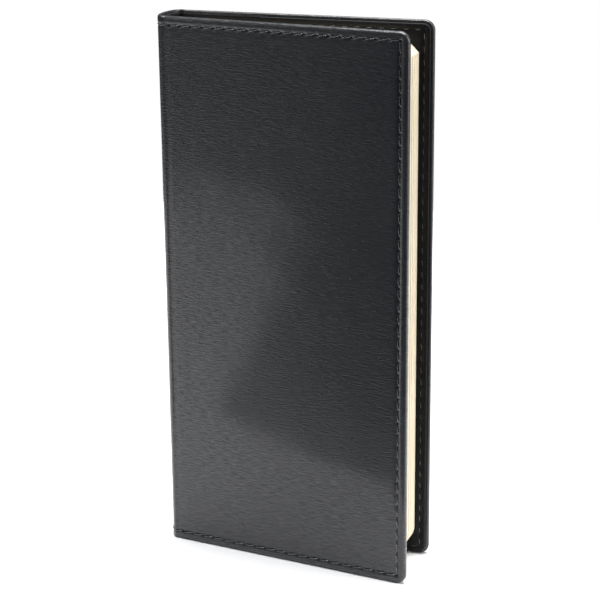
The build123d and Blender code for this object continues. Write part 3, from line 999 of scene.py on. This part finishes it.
# Cloth hinge of the booklet: behind the folds, round the block and on to each card
clothLow, clothHigh = boxOf("booklet_spine_cloth")
cloth = {"thickness": 0.16, "overCard": 0.14, "clear": 0.2, "endClear": 0.3, "backTo": 0.2,
         "cardFrom": 2.2, "cardRows": (2.6, 3.2, 4.0, 6.0, 8.5, 11.0)}
clothDepth = backPivot[1] - boxOf("back_card")[0][1] + cloth["overCard"]
clothX = (clothLow[0] + clothHigh[0]) / 2 - spineX
clothHalf = (clothHigh[1] - clothLow[1]) / 2
liningAtHinge = spineLayers + liningFace - tray
cloths = {}
for label, side in sides.items():
    # Behind the folds, out to the lining at the hinge, and back down on to the card
    outerY = halfSpine - clothDepth
    hugY = halfSpine - liningAtHinge - cloth["clear"]
    turn = np.linspace(0, math.pi / 2, 9)
    reachX = cloth["backTo"] - clothX
    rise = hugY - clothHalf
    path = [(clothX, y) for y in np.linspace(0, clothHalf, 6)]
    path += [(clothX + reachX * (1 - math.cos(t)), clothHalf + rise * math.sin(t)) for t in turn[1:]]
    for x in np.linspace(cloth["backTo"], cloth["cardFrom"], 9)[1:]:
        drop = ease((x - cloth["backTo"]) / (cloth["cardFrom"] - cloth["backTo"]))
        path.append((x, hugY + (outerY - hugY) * drop))
    path += [(x, outerY) for x in cloth["cardRows"]]
    path = np.array(path)
    way = np.gradient(path, axis=0)
    way /= np.linalg.norm(way, axis=1)[:, None]
    normal = np.stack([-way[:, 1], way[:, 0]], axis=-1) * cloth["thickness"] / 2
    points = []
    low, high = clothLow[2] + cloth["endClear"], clothHigh[2] - cloth["endClear"]
    for middle, offset in zip(path, normal):
        for sign in (1, -1):
            x, y = bend(side, *(middle + sign * offset))
            points += [(x, y, low), (x, y, high)]
    name = f"{label}_cloth_hinge"
    cloths[label] = linkPiece(name, meshFrom(name, points, stripFaces(len(path)), bookCloth))
print("booklet ready")

# Which node each piece stands for, what the sleeves, leaves, sewing and bands move with, and the kept nodes'
# finish; the skins, linings, threads and cloth hinges only have their placing baked in
for label, side in sides.items():
    blendCover(skins[label])
    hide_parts(f"{label}_leather", *(["spine_leather"] if side < 0 else []))
    blendCover(linings[label])
    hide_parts(f"{label}_lining", *(["spine_lining"] if side < 0 else []))
    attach(sleeves[label], f"{label}_cover")
    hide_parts(f"{label}_sleeve")
    blendCover(threads[label])
    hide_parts(f"{label}_stitching", *(["spine_stitching"] if side < 0 else []))
    blendCover(cloths[label])
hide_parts("booklet_spine_cloth")
for body, (leaves, node, fold, toward) in sewn.items():
    if toward:  # a flyleaf only has its placing baked in
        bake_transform(leaves)
    else:
        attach(leaves, body)
    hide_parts(node)
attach(sewnThread, "spine")
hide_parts("booklet_sewing")
for node, band in bands.items():
    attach(band, "spine")
    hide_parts(node)

keptNodes = {
    "front_board": greyBoard, "back_board": greyBoard, "front_infill": greyBoard,
    "back_infill": greyBoard, "spine_stiffener": greyBoard, "front_card": bookletCard,
    "back_card": bookletCard, "booklet_mull": openMull,
}
for node, material in keptNodes.items():
    carried = frame["nodes"][node]
    carried.data.materials.clear()
    carried.data.materials.append(material)

# Floor and light
studio = {"floorColour": (0.9, 0.9, 0.9), "floorRough": 0.9,
          "worldTint": (0.11, 0.12, 0.145), "backdrop": 1.0}
floorOutline = [(-0.5, -0.1), (-0.48, -0.46), (-0.28, -0.4), (-0.2, -0.294), (-0.153, -0.206),
                (-0.124, -0.15), (-0.104, -0.108), (-0.05, -0.091), (0.03, -0.074), (0.4, -0.07),
                (0.46, 0.2), (0.2, 0.46), (-0.2, 0.46), (-0.44, 0.3)]
floorMesh = bpy.data.meshes.new("floor")
floorMesh.from_pydata([(x, y, 0) for x, y in floorOutline], [], [tuple(range(len(floorOutline)))])
floor = linkPiece("floor", floorMesh)
floorMaterial, _, floorBsdf = newMaterial("floor_pale")
floorBsdf.inputs["Base Color"].default_value = (*studio["floorColour"], 1)
floorBsdf.inputs["Roughness"].default_value = studio["floorRough"]
floorMesh.materials.append(floorMaterial)

world = bpy.data.worlds.new("studio")
scene.world = world
world.use_nodes = True
worldTree = world.node_tree
backgroundNode = worldTree.nodes["Background"]
backgroundNode.inputs[0].default_value = (*studio["worldTint"], 1)
seen = addNode(worldTree, "ShaderNodeBackground", {"Color": (1, 1, 1, 1), "Strength": studio["backdrop"]})
rayKind = addNode(worldTree, "ShaderNodeLightPath")
both = addNode(worldTree, "ShaderNodeMixShader", {
    0: rayKind.outputs["Is Camera Ray"], 1: backgroundNode.outputs[0], 2: seen.outputs[0]})
worldTree.links.new(both.outputs[0], worldTree.nodes["World Output"].inputs[0])


def addLight(name, size, power, location, target):
    data = bpy.data.lights.new(name, "AREA")
    data.shape = "RECTANGLE"
    data.size, data.size_y = size
    data.energy = power
    lamp = bpy.data.objects.new(name, data)
    scene.collection.objects.link(lamp)
    lamp.location = location
    lamp.rotation_euler = (Vector(target) - Vector(location)).to_track_quat("-Z", "Y").to_euler()


lamps = {  # size, power, place and aim
    "overhead": ((0.85, 0.85), 32, (0.03, 0.1, 1.15), (0, 0, 0)),
    "rightFill": ((0.5, 0.9), 8.5, (0.95, 0.05, 0.4), (0.04, 0, 0.09)),
    "leftFill": ((0.5, 0.8), 1.2, (-0.8, -0.7, 0.6), (0, 0, 0.05)),
}
for label, settings in lamps.items():
    addLight(label, *settings)

view = {"position": (194.1, -529.0, 257.0), "yaw": -19.8, "pitch": 16.8, "roll": -0.54,
        "lens": 110.9, "sensor": 36, "clip": (0.01, 20)}
cameraData = bpy.data.cameras.new("camera")
camera = bpy.data.objects.new("camera", cameraData)
scene.collection.objects.link(camera)
cameraData.lens, cameraData.sensor_width = view["lens"], view["sensor"]
cameraData.clip_start, cameraData.clip_end = view["clip"]
yaw, pitch, roll = (math.radians(view[k]) for k in ("yaw", "pitch", "roll"))
forward = Vector((math.sin(yaw) * math.cos(pitch), math.cos(yaw) * math.cos(pitch), -math.sin(pitch)))
right = Vector((math.cos(yaw), -math.sin(yaw), 0))
upward = right.cross(forward)
rolledRight = right * math.cos(roll) + upward * math.sin(roll)
rolledUp = upward * math.cos(roll) - right * math.sin(roll)
axes = Matrix((rolledRight, rolledUp, -forward)).transposed()
camera.matrix_world = Matrix.Translation(Vector(view["position"]) * mm) @ axes.to_4x4()
scene.camera = camera
print("stage ready")
